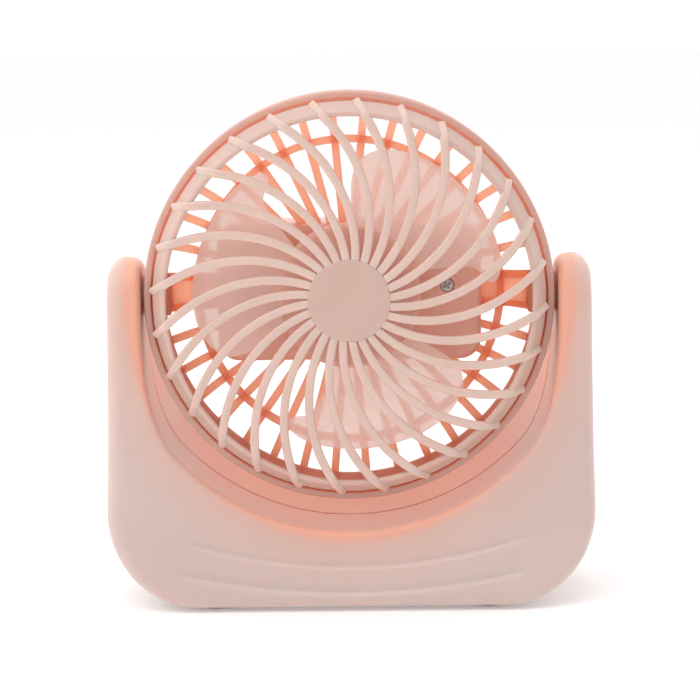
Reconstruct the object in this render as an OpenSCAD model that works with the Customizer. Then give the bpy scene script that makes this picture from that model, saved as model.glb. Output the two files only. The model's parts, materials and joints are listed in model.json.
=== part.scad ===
// Small tilting desk fan: a round head with a swirled grille, held by two pivots
// between the ears of a hollow U-shaped stand. Millimetres, +Z up. The fan blows
// towards -Y. The origin is on the table, under the middle of the stand.

/* [Head] */
// Outside diameter of the drum's front rim
rim_d = 116; // [105:1:140]
// Height of the rim's front face ahead of the tilt axis
rim_front = 11; // [10:0.5:14]
// How far the drum's wall runs behind the tilt axis
drum_back = 4; // [3:0.5:6]
// Wall thickness of the drum
drum_wall = 2; // [1.5:0.1:2.5]
// Open groove between the rim and the front grille
groove_w = 0.6; // [0.4:0.1:1]

/* [Front grille] */
// Height of the grille's face ahead of the tilt axis
grille_front = 19; // [18:0.5:24]
// Thickness of the grille's face
grille_t = 2.4; // [1.6:0.1:3]
// Width of the sloped bezel around the grille, seen from the front
bezel_w = 4.1; // [2.5:0.1:6]
// Number of swirled ribs
rib_count = 28; // [18:1:34]
// Width of a rib where it leaves the cap
rib_w_in = 1.2; // [0.8:0.1:1.4]
// Width of a rib at its outer end
rib_w_out = 2.4; // [1.4:0.1:3]
// Turn of a rib from its inner end to its outer end, in degrees
rib_sweep = 32; // [0:1:45]
// Height of the ribs above the bezel
rib_proud = 0.8; // [0.4:0.1:1.2]
// Diameter of the centre cap
cap_d = 23.2; // [18:0.2:28]

/* [Rear grille] */
// Number of radial slats
slat_count = 36; // [18:2:48]
// Width of a slat
slat_w = 2.2; // [1.4:0.1:3]
// Thickness of a slat, front to back
slat_t = 2.5; // [2:0.1:4]
// Depth of the slats' front faces behind the tilt axis
slat_back = 6.5; // [5:0.5:9]
// Distance from the rim's outside in to the rear ring
ring_inset = 14.3; // [12:0.1:18]
// Width of the rear ring
ring_w = 2.1; // [1.5:0.1:3]
// Height of the solid webs that carry the pivots
web_h = 10.4; // [8:0.2:14]

/* [Motor and battery box] */
// Width of the box
box_w = 75.5; // [72:0.5:84]
// Height of the box
box_h = 39; // [38:0.5:44]
// Radius of the box's corners
box_r = 6; // [3:0.5:8]
// Wall thickness of the box and its cover
box_wall = 1.8; // [1.4:0.1:2.2]
// Diameter of the motor's can
motor_d = 24.4; // [20:0.1:26]
// Length of the motor's can
motor_len = 12.3; // [10:0.1:13]
// Diameter of the rechargeable cell
cell_d = 18.2; // [14:0.1:18.5]
// Length of the rechargeable cell
cell_len = 65; // [50:0.5:65.5]
// Distance of each cover screw from the middle
cover_screw_x = 28; // [22:0.5:29]

/* [Impeller] */
// Outside diameter of the blades
blade_d = 89; // [70:1:92]
// Diameter of the hub
hub_d = 41; // [36:0.5:44]
// Number of blades
blade_count = 3; // [2:1:4]
// Angle that each blade covers, in degrees
blade_span = 86; // [50:1:88]
// Axial thickness of a blade
blade_t = 1.4; // [1:0.1:2]
// Diameter of the motor's shaft
shaft_d = 2; // [1.5:0.1:3]

/* [Stand] */
// Thickness of an ear, side to side
ear_t = 9.3; // [8.8:0.1:14]
// Depth of an ear, front to back
ear_d = 28; // [24:1:36]
// Height of the ears above the tilt axis
ear_rise = 11; // [9:0.5:18]
// Depth of the base, front to back
stand_d = 57; // [57:1:80]
// Gap between the drum and an ear
ear_gap = 1; // [0.9:0.1:3]
// Space between the drum and the bowl below it
bowl_gap = 10; // [6:0.5:14]
// Height of the lowest part of the bowl above the table
bowl_z = 19; // [16:0.5:30]
// Radius of the base's bottom corners, seen from the front
corner_r = 26; // [18:0.5:27]
// Wall thickness of the stand
stand_wall = 2; // [1.6:0.1:2.2]
// How much further out each side is at the base than at the ears
flare = 1.1; // [0:0.1:4]
// Distance of the seam between the two shells behind the tilt axis
seam_y = 11; // [9:0.5:11]

/* [Small parts] */
// Diameter of a pivot pin
pin_d = 8; // [6:0.5:9]
// Diameter of a rubber foot
foot_d = 10; // [8:0.5:12]
// Thickness of a rubber foot
foot_t = 2; // [1.5:0.1:3]
// Diameter of the power button
button_d = 7.6; // [6:0.1:9]
// Travel of the power button
button_travel = 0.6; // [0.3:0.1:0.6]

/* [Hidden] */
$fn = 96;
eps = 0.01;
run_gap = 0.05;      // radial running clearance of a shaft or a pin
snug_gap = 0.02;     // radial clearance of what is pressed or glued in
move_gap = 0.35;     // gap between pieces that move past each other
lift = 1;            // how far the feet stand out below the shells

rim_r = rim_d / 2;
ring_r = rim_r - ring_inset;
drum_in_r = rim_r - drum_wall;
drum_turn = drum_wall + 1.1;     // how far the drum's back edge is turned in
bezel_r = drum_in_r - groove_w;
face_r = bezel_r - bezel_w;
cap_r = cap_d / 2;
rib_bend = 1.15;                 // 1 turns evenly with radius, more turns later
skirt_t = 1.6;                   // wall of the grille's skirt inside the drum
skirt_back = rim_front - 4;      // where the skirt ends
bezel_front = rim_front + 1;     // where the bezel meets the groove

cover_t = box_wall;
box_back = 27;                   // back of the box behind the tilt axis
motor_r = motor_d / 2;
motor_front = 6;
motor_back = motor_len - motor_front;
pocket_wall = 1.5;
pocket_front = 4;
cell_r = cell_d / 2;
cell_f = -(box_back - box_wall - cell_r - 0.2);
cell_y = -(box_h / 2 - box_wall - cell_r - 0.25);

hub_r = hub_d / 2;
hub_front = 9;
hub_back = 1;
hub_wall = 1.6;
blade_r = blade_d / 2;
blade_back = 1.6;
blade_rise = 9.5;                // how far a blade climbs from edge to edge
shaft_r = shaft_d / 2;
bush_r = 2.95;
nose_r = 3.5;
nose_front = 12.5;

bowl_r = rim_r + bowl_gap;
pivot_z = bowl_r + bowl_z;
ear_in = rim_r + ear_gap;
ear_out = ear_in + ear_t;
stand_w = 2 * (ear_out + flare);
ear_top = pivot_z + ear_rise;
flare_z = pivot_z - 26;              // where the front starts to flare
belly = [stand_d / 2 - 1, pivot_z - 20];   // bend in the back, below the ears
ear_round = ear_t / 2;

pin_r = pin_d / 2;
pin_boss_r = pin_r + 2;
pin_in = rim_r - 5;              // inner end of a pin
ear_boss = 3;                    // length of the bearing in an ear
pin_flange_x = ear_in + ear_boss + move_gap;
pin_flange_t = 1.4;
pin_flange_r = pin_r + 2;
screw_r = 1.2;

post_r = 3;
post_seat = seam_y + 2;          // face under the head of a stand screw
stand_screw_len = 9;
ear_post = [ear_in + ear_t / 2 - 2, pivot_z - 36.4];
base_post = [stand_w / 2 - 22.5, 12];
foot_x = stand_w / 2 - corner_r - foot_d / 2;
foot_y = stand_d / 2 - 11.5;

cover_screw_y = 2;
cover_post_r = 3.3;
cover_boss = 0.6;
cover_screw_r = 1;

board_t = 1.6;
board_f = -18;                   // front face of the board
board_w = box_w - 19;
board_y = [cell_y + cell_r + 2.5, box_h / 2 - box_wall - 0.5];
part_y = (board_y[0] + board_y[1]) / 2;
stake_x = board_w / 2 - 3;
board_back = board_f - board_t;
box_inner_back = -(box_back - box_wall);
switch_w = 6;
switch_h = 3.5;
button_r = button_d / 2;
button_proud = 1;
button_flange_t = 0.8;
plunger_r = 1.7;
plunger_depth = 1.6;
usb_x = 17;
usb_w = 8.9;
usb_h = 3.2;
usb_wall = 0.3;
usb_back = 0.9;                  // back wall of the socket's shell
tongue_w = 6.4;
tongue_t = 0.7;
led_x = -12;
led_r = 1.5;
wire_r = 0.6;

shell_pink = "#e6cfc6";
salmon = "#eba58a";
frost = "#eadcd6";
steel = "#b9bcc0";

// The head's own frame: x to the right and y up as seen from the front, z forwards
module in_head() translate([0, 0, pivot_z]) rotate([90, 0, 0]) children();

// A pair of pieces, right and left
module both_sides() {
    children();
    mirror([1, 0, 0]) children();
}

// A solid cylinder along z between two heights
module post(r, z0, z1) translate([0, 0, z0]) cylinder(r = r, h = z1 - z0);

// A tube along z between two heights
module tube(r_out, r_in, z0, z1) difference() {
    post(r_out, z0, z1);
    post(r_in, z0 - 1, z1 + 1);
}

// A rectangle about the origin with round corners
module rounded(w, h, r) {
    x = w / 2 - r;
    y = h / 2 - r;
    square([w, 2 * y], center = true);
    square([2 * x, h], center = true);
    for (sx = [-1, 1], sy = [-1, 1])
        translate([sx * x, sy * y]) circle(r);
}

// A cross-head screw, its head's seat at z = 0 and its point at z = -length
module screw(r, head_r, head_t, length) difference() {
    union() {
        post(r, -length, eps);
        post(head_r, 0, head_t);
    }
    for (a = [0, 90])
        rotate(a) translate([0, 0, head_t])
            cube([head_r * 1.2, head_r * 0.25, head_t], center = true);
}

// ---- Stand ----

// The stand seen from the front, each wall drawn in by g: the sides lean in from
// the round bottom corners to the round ear tops
module stand_front_view(g) {
    w = stand_w / 2 - g;
    we = ear_out - g;
    rb = corner_r - g;
    rt = ear_round - g;
    z0 = lift + g;
    z1 = ear_top - g;
    run = [we - rt - w + rb, z1 - rt - z0 - rb];
    lean = atan2(run[1], run[0]) - acos((rb - rt) / norm(run));
    out = [cos(lean), sin(lean)];
    low = [w - rb, z0 + rb] + rb * out;
    high = [we - rt, z1 - rt] + rt * out;
    polygon([[rb - w, z0], [w - rb, z0], [w - rb, z0 + rb], low, high, [we - rt, z1 - rt],
        [we - rt, z1], [rt - we, z1], [rt - we, z1 - rt], [-high[0], high[1]],
        [-low[0], low[1]], [rb - w, z0 + rb]]);
    for (s = [-1, 1]) {
        translate([s * (w - rb), z0 + rb]) circle(rb);
        translate([s * (we - rt), z1 - rt]) circle(rt);
    }
}

// The stand seen from the side, each wall drawn in by g: a hollow-curved front, and
// a straight back that bends over to a round ear top
module stand_side_view(g) {
    e = ear_d / 2;
    d = stand_d / 2;
    h = flare_z - lift;
    bend_r = (pow(d - e, 2) + h * h) / (2 * (d - e));
    steps = 12;
    z0 = lift + g;
    low = asin((flare_z - z0) / (bend_r + g));
    top = [0, ear_top - e];
    bend = [belly[0] - g, belly[1]];
    over = atan2(bend[1] - top[1], bend[0]) + acos((e - g) / norm(bend - top));
    front = [for (i = [0:steps])
        let (a = low * i / steps)
        [(bend_r + g) * cos(a) - e - bend_r, flare_z - (bend_r + g) * sin(a)]];
    polygon(concat([[g - e, ear_top - e]], front,
        [[d - g, z0], bend, top + (e - g) * [cos(over), sin(over)], top]));
    translate(top) circle(e - g);
}

// The stand as a solid, without its bowl
module stand_block(g) intersection() {
    translate([0, stand_d, 0]) rotate([90, 0, 0])
        linear_extrude(2 * stand_d) stand_front_view(g);
    rotate([90, 0, 90]) translate([0, 0, -stand_w])
        linear_extrude(2 * stand_w) stand_side_view(g);
}

// The round bowl and the flat inner faces of the ears
module bowl(g) translate([0, 0, pivot_z]) intersection() {
    sphere(bowl_r + g);
    cube([2 * (ear_in + g), 4 * bowl_r, 4 * bowl_r], center = true);
}

// The hollow stand, whole
module stand_skin() difference() {
    stand_block(0);
    bowl(0);
    difference() {
        stand_block(stand_wall);
        bowl(stand_wall);
    }
}

// Everything in front of the seam, or behind it
module before_seam() translate([-stand_w, seam_y - 2 * stand_d, -1])
    cube([2 * stand_w, 2 * stand_d, 2 * ear_top]);
module behind_seam() translate([-stand_w, seam_y, -1])
    cube([2 * stand_w, 2 * stand_d, 2 * ear_top]);

// Puts a piece at each of the four stand screws, its axis pointing backwards
module at_stand_screws() both_sides()
    for (p = [ear_post, base_post])
        translate([p[0], 0, p[1]]) rotate([-90, 0, 0]) children();

// Pockets for the rubber feet
module foot_pockets() both_sides()
    for (y = [-foot_y, foot_y])
        translate([foot_x, y, 0]) post(foot_d / 2 + snug_gap, -1, foot_t);

module stand_front_shell() color(shell_pink) difference() {
    union() {
        intersection() {
            stand_skin();
            before_seam();
        }
        intersection() {
            at_stand_screws() post(post_r, -stand_d, seam_y);
            stand_block(stand_wall / 2);
        }
        both_sides() translate([ear_in + stand_wall / 2, 0, pivot_z]) rotate([0, 90, 0])
            post(pin_r + 2.5, 0, ear_boss - stand_wall / 2);
    }
    at_stand_screws() post(screw_r + snug_gap, post_seat - stand_screw_len - 1, seam_y + 1);
    both_sides() translate([ear_in, 0, pivot_z]) rotate([0, 90, 0])
        post(pin_r + run_gap, -1, ear_boss + 1);
    foot_pockets();
}

module stand_back_shell() color(shell_pink) difference() {
    union() {
        intersection() {
            stand_skin();
            behind_seam();
        }
        intersection() {
            at_stand_screws() post(post_r + 1, seam_y, stand_d);
            stand_block(stand_wall / 2);
        }
    }
    at_stand_screws() {
        post(screw_r + 0.2, seam_y - 1, post_seat + 1);
        post(post_r, post_seat, stand_d);
    }
    foot_pockets();
}

module stand_screws() color(steel) at_stand_screws()
    translate([0, 0, post_seat]) screw(screw_r, 2.5, 1.3, stand_screw_len);

module rubber_feet() color("#8f8a88") both_sides()
    for (y = [-foot_y, foot_y])
        translate([foot_x, y, 0]) post(foot_d / 2, 0, foot_t);

// ---- Front grille ----

// Angle of a rib's middle line at radius r, and half of its width there
function rib_u(r) = max(0, (r - cap_r) / (bezel_r - cap_r));
function rib_angle(r) = rib_sweep * pow(rib_u(r), rib_bend);
function rib_half(r) = (rib_w_in + (rib_w_out - rib_w_in) * rib_u(r)) / 2;
function rib_edge(r, side) =
    let (a = rib_angle(r), out = [cos(a), sin(a)], across = [-sin(a), cos(a)],
        lean = atan2((rib_angle(r + 1) - a) * PI / 180 * r, 1),
        n = across * cos(lean) - out * sin(lean))
    out * r + n * side * rib_half(r);

// One rib seen from the front
module rib_outline() {
    steps = 12;
    r0 = cap_r - 2;
    r1 = bezel_r - 0.4;
    radii = [for (i = [0:steps]) r0 + (r1 - r0) * i / steps];
    polygon(concat([for (r = radii) rib_edge(r, 1)],
        [for (i = [steps:-1:0]) rib_edge(radii[i], -1)]));
}

// All ribs seen from the front
module ribs_outline() {
    first_rib = 4.1;
    for (i = [0:rib_count - 1])
        rotate(first_rib + i * 360 / rib_count) rib_outline();
}

// Sloped bezel with its skirt, which drops inside the drum
module bezel() rotate_extrude() polygon([
    [face_r, grille_front - 0.4], [face_r + 0.8, grille_front - 0.8],
    [bezel_r - 0.6, bezel_front + 0.8], [bezel_r, bezel_front],
    [bezel_r, skirt_back], [bezel_r - skirt_t, skirt_back],
    [bezel_r - skirt_t, bezel_front], [face_r, grille_front - grille_t]]);

module front_grille() color(shell_pink) in_head() union() {
    bezel();
    post(cap_r, grille_front - grille_t, grille_front);
    intersection() {
        translate([0, 0, bezel_front]) linear_extrude(grille_front) ribs_outline();
        rotate_extrude() polygon([
            [0, grille_front - grille_t], [0, grille_front - 0.2],
            [face_r + 0.4, grille_front - 0.2],
            [bezel_r - 0.2, bezel_front + rib_proud],
            [bezel_r - 0.2, bezel_front - 1],
            [bezel_r - skirt_t + 0.2, bezel_front],
            [face_r + 0.3, grille_front - grille_t]]);
    }
}

// ---- Rear shell ----

// Drum wall with its front rim and turned-in back edge
module drum() rotate_extrude() polygon([
    [rim_r, rim_front], [rim_r, drum_turn - drum_back],
    [rim_r - drum_turn, -drum_back], [drum_in_r - drum_turn, -drum_back],
    [drum_in_r - drum_turn, drum_wall - drum_back],
    [rim_r - drum_turn, drum_wall - drum_back],
    [drum_in_r, drum_turn - drum_back], [drum_in_r, rim_front]]);

// One slat of width w, from radius r0 out to the drum's back edge
module slat(r0, w) {
    r1 = rim_r - drum_turn - 0.5;
    rotate([90, 0, 0]) translate([0, 0, -w / 2]) linear_extrude(w) polygon([
        [r0, -slat_back - slat_t], [ring_r + 2, -slat_back - slat_t],
        [r1, 0.3 - drum_back], [r1, drum_wall - drum_back - 0.2],
        [ring_r + 1, -slat_back], [r0, -slat_back]]);
}

module slats() {
    first_slat = 4.9;
    for (i = [0:slat_count - 1])
        rotate(first_slat + i * 360 / slat_count) slat(box_h / 2 - box_wall / 2, slat_w);
}

// Solid web between the box and the drum, with the boss that takes a pivot pin
module pivot_web() {
    translate([0, 0, 0.2]) slat(box_w / 2 - box_wall / 2, web_h);
    rotate([0, 90, 0]) post(pin_boss_r, pin_in - 2, ear_in - move_gap);
}

// Things that seat on the back wall of the box
module board_stakes() both_sides() translate([stake_x, part_y, 0]) {
    post(2, box_inner_back - eps, board_back);
    post(0.9, board_back - 1, board_f + 0.4);
}

// Posts for the cover screws, tied to the box's side walls
module cover_posts() both_sides() {
    translate([cover_screw_x, cover_screw_y, 0]) tube(cover_post_r, cover_screw_r + snug_gap,
        -cover_t - 4.8, -cover_t);
    translate([cover_screw_x + cover_post_r - 0.3, cover_screw_y - 1, -cover_t - 4.8])
        cube([box_w / 2 - box_wall / 2 - cover_screw_x - cover_post_r + 0.3, 2, 4.8]);
}

module rear_shell() color(salmon) in_head() {
    difference() {
        union() {
            drum();
            slats();
            tube(ring_r + ring_w / 2, ring_r - ring_w / 2, -slat_back - slat_t - 0.3, -slat_back + 0.3);
            both_sides() pivot_web();
            translate([0, 0, -box_back])
                linear_extrude(box_back - cover_t) rounded(box_w, box_h, box_r);
        }
        translate([0, 0, box_inner_back])
            linear_extrude(box_back) rounded(box_w - 2 * box_wall, box_h - 2 * box_wall, box_r - box_wall);
        both_sides() rotate([0, 90, 0]) {
            post(pin_r + snug_gap, pin_in, ear_in);
            post(screw_r + snug_gap, pin_in - 3, pin_in + 1);
        }
        translate([0, part_y, 0]) post(button_r + move_gap, -box_back - 1, box_inner_back + 1);
        translate([led_x, part_y, 0]) post(led_r + 0.1, -box_back - 1, box_inner_back + 1);
        translate([usb_x, part_y, -box_back - 1]) linear_extrude(box_wall + 2)
            rounded(usb_w + 0.5, usb_h + 0.5, (usb_h + 0.5) / 2 - eps);
    }
    board_stakes();
    cover_posts();
}

// ---- Motor cover and motor ----

module motor_cover() color(salmon) in_head() difference() {
    union() {
        translate([0, 0, -cover_t]) linear_extrude(cover_t) rounded(box_w, box_h, box_r);
        post(motor_r + pocket_wall, -motor_back - 0.2, pocket_front);
        both_sides() translate([cover_screw_x, cover_screw_y, 0])
            post(cover_post_r, -cover_t + eps, cover_boss);
    }
    post(motor_r + snug_gap, -box_back, motor_front);
    both_sides() translate([cover_screw_x, cover_screw_y, 0]) {
        post(2.3, -cover_boss, cover_boss + 1);
        post(cover_screw_r + 0.15, -cover_t - 1, 0);
    }
}

module cover_screws() color(steel) in_head() both_sides()
    translate([cover_screw_x, cover_screw_y, -cover_boss])
        screw(cover_screw_r, 2, 1.1, cover_t + 3);

can_t = 1;
end_cap_t = 1;
magnet_t = 1.6;

module motor_can() color(steel) in_head() difference() {
    post(motor_r, end_cap_t - motor_back, motor_front);
    post(motor_r - can_t, -motor_back, motor_front - can_t);
    post(bush_r + snug_gap, -motor_back, motor_front + 1);
}

module motor_end_cap() color("#f1efe8") in_head() difference() {
    post(motor_r, -motor_back, end_cap_t - motor_back - eps);
    post(bush_r + snug_gap, -motor_back - 1, motor_front);
}

module motor_magnets() color("#4a4a4c") in_head()
    tube(motor_r - can_t - 0.1, motor_r - can_t - magnet_t, -4, 4);

module front_bush() color("#b98d4a") in_head()
    tube(bush_r, shaft_r + run_gap, motor_front - 2, motor_front + 0.6);

module rear_bush() color("#b98d4a") in_head()
    tube(bush_r, shaft_r + run_gap, -motor_back - 1, -motor_back + 1.6);

module motor_shaft() color(steel) in_head()
    post(shaft_r, -motor_back - 0.8, nose_front - 1);

module motor_rotor() color("#b5672f") in_head()
    tube(motor_r - can_t - magnet_t - 0.5, shaft_r + snug_gap, -3.6, 3.2);

// ---- Impeller ----

// One blade seen from the front: a hooked edge at its start, a broad round one at its end
module blade_outline() {
    first = 16;
    last = 5 + blade_span - 1;
    reach = 1.5 * blade_r;
    round_r = 4;
    hook_r = 1.9;
    intersection() {
        circle(blade_r);
        union() {
            offset(r = round_r) offset(delta = -round_r) intersection() {
                circle(blade_r);
                polygon([[0, 0], for (a = [first:12:last]) [reach * cos(a), reach * sin(a)],
                    [reach * cos(last), reach * sin(last)]]);
            }
            polygon([for (a = [first, last]) hub_r * 0.9 * [cos(a), sin(a)],
                for (a = [last, first]) (hub_r + 5) * [cos(a), sin(a)]]);
            for (a = [5:3:23])
                rotate(a) translate([blade_r - 2 - hook_r, 0]) circle(hook_r, $fn = 24);
        }
    }
}

// One blade: a helical sheet cut to the outline
module blade() {
    sheet_angle = blade_t * (blade_span - 12) / blade_rise;
    turn = blade_span - sheet_angle;
    intersection() {
        translate([0, 0, blade_back]) linear_extrude(blade_rise, twist = -turn, slices = 20, segments = 8)
            polygon([[(hub_r - 1), 0], [blade_r + 2, 0],
                (blade_r + 2) * [cos(sheet_angle), sin(sheet_angle)],
                (hub_r - 1) * [cos(sheet_angle), sin(sheet_angle)]]);
        linear_extrude(blade_back + blade_rise + 1) rotate(-4) blade_outline();
    }
}

module impeller() color(frost) in_head() difference() {
    union() {
        rotate_extrude() polygon([
            [0, hub_front], [hub_r - 1, hub_front], [hub_r, hub_front - 1], [hub_r, hub_back],
            [hub_r - hub_wall, hub_back], [hub_r - hub_wall, hub_front - hub_wall - 0.2],
            [0, hub_front - hub_wall - 0.2]]);
        post(nose_r, hub_front - hub_wall - 0.4, nose_front);
        for (i = [0:blade_count - 1])
            rotate(4 + i * 360 / blade_count) blade();
    }
    post(shaft_r + snug_gap, 0, nose_front - 1);
}

// ---- Battery and electronics ----

module battery_cell() color("#5d8fb5") in_head()
    translate([0, cell_y, cell_f]) rotate([0, 90, 0]) post(cell_r, -cell_len / 2, cell_len / 2);

module battery_tabs() color(steel) in_head() both_sides()
    translate([cell_len / 2, cell_y - 4, cell_f - 3]) cube([0.3, 8, 6]);

module battery_leads() color("#c23b34") in_head() both_sides() {
    x = cell_len / 2 + 0.35 + wire_r;
    y = part_y - 3;
    x_end = board_w / 2 - 2;
    translate([x_end, y, board_f + wire_r + 0.1]) rotate([0, 90, 0])
        post(wire_r, 0, x - x_end);
    translate([x, 0, board_f + wire_r + 0.1]) rotate([-90, 0, 0])
        post(wire_r, cell_y, y + wire_r);
}

module motor_leads() color("#3b3b3d") in_head() both_sides()
    translate([5, part_y - 2, 0]) post(wire_r, board_f, -motor_back);

module circuit_board() color("#2f7d4f") in_head() difference() {
    translate([-board_w / 2, board_y[0], board_back])
        cube([board_w, board_y[1] - board_y[0], board_t]);
    both_sides() translate([stake_x, part_y, 0]) post(0.9 + snug_gap, board_back - 1, board_f + 1);
}

module switch_body() color("#2b2b2d") in_head() difference() {
    translate([-switch_w / 2, part_y - switch_w / 2, board_back - switch_h])
        cube([switch_w, switch_w, switch_h]);
    translate([0, part_y, 0])
        post(plunger_r + move_gap, board_back - switch_h - 1, board_back - switch_h + plunger_depth);
}

module switch_plunger() color("#d9d4cc") in_head() translate([0, part_y, 0])
    post(plunger_r, box_inner_back + move_gap + button_flange_t,
        board_back - switch_h + plunger_depth - button_travel - move_gap);

module power_button() color(frost) in_head() translate([0, part_y, 0]) {
    post(button_r, -box_back - button_proud, box_inner_back + move_gap + eps);
    post(button_r + 1.2, box_inner_back + move_gap, box_inner_back + move_gap + button_flange_t);
}

module indicator_led() color("#e8f0ff") in_head() translate([led_x, part_y, 0])
    post(led_r, -box_back + 0.2, board_back);

module usb_socket() color(steel) in_head() translate([usb_x, part_y, -box_back + 0.1])
    difference() {
        linear_extrude(box_back - 0.1 + board_back) rounded(usb_w, usb_h, usb_h / 2 - eps);
        translate([0, 0, -1]) linear_extrude(box_back + 0.9 + board_back - usb_back)
            rounded(usb_w - 2 * usb_wall, usb_h - 2 * usb_wall, usb_h / 2 - usb_wall - eps);
    }

module socket_tongue() color("#2b2b2d") in_head()
    translate([usb_x - tongue_w / 2, part_y - tongue_t / 2, -box_back + 1])
        cube([tongue_w, tongue_t, box_back - 1 + board_back - usb_back]);

// ---- Pivots ----

module pivot_pins() color("#d9d4cc") in_head() both_sides() rotate([0, 90, 0]) difference() {
    union() {
        post(pin_r, pin_in, pin_flange_x + eps);
        post(pin_flange_r, pin_flange_x, pin_flange_x + pin_flange_t);
    }
    post(screw_r + snug_gap, pin_in - 1, pin_flange_x + pin_flange_t + 1);
}

module pivot_screws() color(steel) in_head() both_sides() rotate([0, 90, 0])
    translate([0, 0, pin_flange_x + pin_flange_t])
        screw(screw_r, 2.4, 1.2, pin_flange_x + pin_flange_t - pin_in + 1.6);

stand_front_shell();
stand_back_shell();
stand_screws();
rubber_feet();
front_grille();
rear_shell();
motor_cover();
cover_screws();
motor_can();
motor_end_cap();
motor_magnets();
front_bush();
rear_bush();
battery_cell();
battery_tabs();
battery_leads();
circuit_board();
switch_body();
indicator_led();
usb_socket();
socket_tongue();
motor_leads();
pivot_pins();
pivot_screws();
impeller();
motor_shaft();
motor_rotor();
power_button();
switch_plunger();
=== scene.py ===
import json
import math

import bmesh
import bpy
import numpy as np
from mathutils import Matrix, Vector


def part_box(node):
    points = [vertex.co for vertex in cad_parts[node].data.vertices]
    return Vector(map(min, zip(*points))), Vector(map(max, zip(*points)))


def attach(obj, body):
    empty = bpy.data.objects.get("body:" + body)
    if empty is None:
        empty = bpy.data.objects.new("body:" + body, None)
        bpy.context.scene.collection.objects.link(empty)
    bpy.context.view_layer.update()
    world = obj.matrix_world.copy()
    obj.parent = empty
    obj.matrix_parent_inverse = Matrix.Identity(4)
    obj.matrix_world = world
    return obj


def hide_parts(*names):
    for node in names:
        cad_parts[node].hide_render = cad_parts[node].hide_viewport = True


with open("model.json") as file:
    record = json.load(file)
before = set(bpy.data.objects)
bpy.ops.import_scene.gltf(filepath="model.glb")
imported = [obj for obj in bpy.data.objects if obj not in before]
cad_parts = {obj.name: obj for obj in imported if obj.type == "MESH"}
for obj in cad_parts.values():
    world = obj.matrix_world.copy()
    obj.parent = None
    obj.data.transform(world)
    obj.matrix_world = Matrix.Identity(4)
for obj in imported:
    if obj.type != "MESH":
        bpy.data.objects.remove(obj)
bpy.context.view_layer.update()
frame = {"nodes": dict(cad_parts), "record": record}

mm = 0.001
tiltJoint = next(j for j in frame["record"]["behaviour"]["joints"] if j["name"] == "head_tilt")
pivotZ = tiltJoint["pos_m"][2] / mm


# lowest and highest corner of a CAD node, in millimetres
def mmBox(node):
    low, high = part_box(node)
    return [v / mm for v in low], [v / mm for v in high]


# the head is drawn lying on its back: x right, y up, z towards the breeze, in millimetres
headPlace = (Matrix.Translation((0, 0, pivotZ * mm)) @ Matrix.Rotation(math.pi / 2, 4, "X")
             @ Matrix.Scale(mm, 4))
standPlace = Matrix.Scale(mm, 4)

shellBox = mmBox("rear_shell")
grilleBox = mmBox("front_grille")
impellerBox = mmBox("impeller")
frontBox = mmBox("stand_front_shell")
backBox = mmBox("stand_back_shell")
rimRadius = shellBox[1][2] - pivotZ
rimFront = -shellBox[0][1]
boxBack = shellBox[1][1]
grilleFront = -grilleBox[0][1]
bezelRadius = grilleBox[1][0]
hubTop = -impellerBox[0][1]
print("frame read: tilt axis", round(pivotZ, 2), "mm up, rim radius", round(rimRadius, 2), "mm")


# helpers

# one node, its settings, and its inputs set or linked
def addNode(tree, kind, inputs=None, **settings):
    node = tree.nodes.new(kind)
    for key, value in settings.items():
        setattr(node, key, value)
    for key, value in (inputs or {}).items():
        if isinstance(value, bpy.types.NodeSocket):
            tree.links.new(value, node.inputs[key])
        else:
            node.inputs[key].default_value = value
    return node


# sRGB hex to linear colour
def linear(hexText):
    parts = [int(hexText[i:i + 2], 16) / 255 for i in (1, 3, 5)]
    return [p / 12.92 if p <= 0.04045 else ((p + 0.055) / 1.055) ** 2.4 for p in parts] + [1.0]


# a finished piece: mesh in place, object at the origin, material, slot, body
def finishPiece(obj, material, body, place=None, nodes=(), sharp=40):
    if place is not None:
        obj.data.transform(place)
    if material is not None:
        obj.data.materials.clear()
        obj.data.materials.append(material)
    for polygon in obj.data.polygons:
        polygon.use_smooth = True
    obj.data.set_sharp_from_angle(angle=math.radians(sharp))
    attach(obj, body)
    if nodes:
        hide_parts(*nodes)
    return obj


def objectFrom(name, vertices, faces):
    mesh = bpy.data.meshes.new(name)
    mesh.from_pydata([tuple(v) for v in vertices], [], faces)
    mesh.update()
    obj = bpy.data.objects.new(name, mesh)
    bpy.context.scene.collection.objects.link(obj)
    return obj


# merges doubles and turns the faces outwards
def tidyMesh(obj, merge=1e-4):
    work = bmesh.new()
    work.from_mesh(obj.data)
    bmesh.ops.remove_doubles(work, verts=work.verts, dist=merge)
    bmesh.ops.dissolve_degenerate(work, edges=work.edges, dist=merge)
    bmesh.ops.recalc_face_normals(work, faces=work.faces)
    work.to_mesh(obj.data)
    work.free()
    return obj


# modifiers, booleans and node trees turned into a plain mesh
def applied(obj):
    graph = bpy.context.evaluated_depsgraph_get()
    mesh = bpy.data.meshes.new_from_object(obj.evaluated_get(graph))
    obj.modifiers.clear()
    obj.data = mesh
    return obj


# points of an outline, each corner (x, y, radius) turned into an arc
def softened(corners, closed=True, steps=5):
    points = []
    count = len(corners)
    for i, corner in enumerate(corners):
        here = Vector(corner[:2])
        radius = corner[2] if len(corner) > 2 else 0
        if radius <= 0 or (not closed and i in (0, count - 1)):
            points.append(here)
            continue
        before = (Vector(corners[i - 1][:2]) - here)
        after = (Vector(corners[(i + 1) % count][:2]) - here)
        half = before.angle(after) / 2
        reach = min(radius / math.tan(half), before.length * 0.48, after.length * 0.48)
        radius = reach * math.tan(half)
        middle = here + (before.normalized() + after.normalized()).normalized() * (radius / math.sin(half))
        start = here + before.normalized() * reach - middle
        end = here + after.normalized() * reach - middle
        for k in range(steps + 1):
            blended = start.lerp(end, k / steps)
            points.append(middle + blended.normalized() * radius)
    return points


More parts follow.
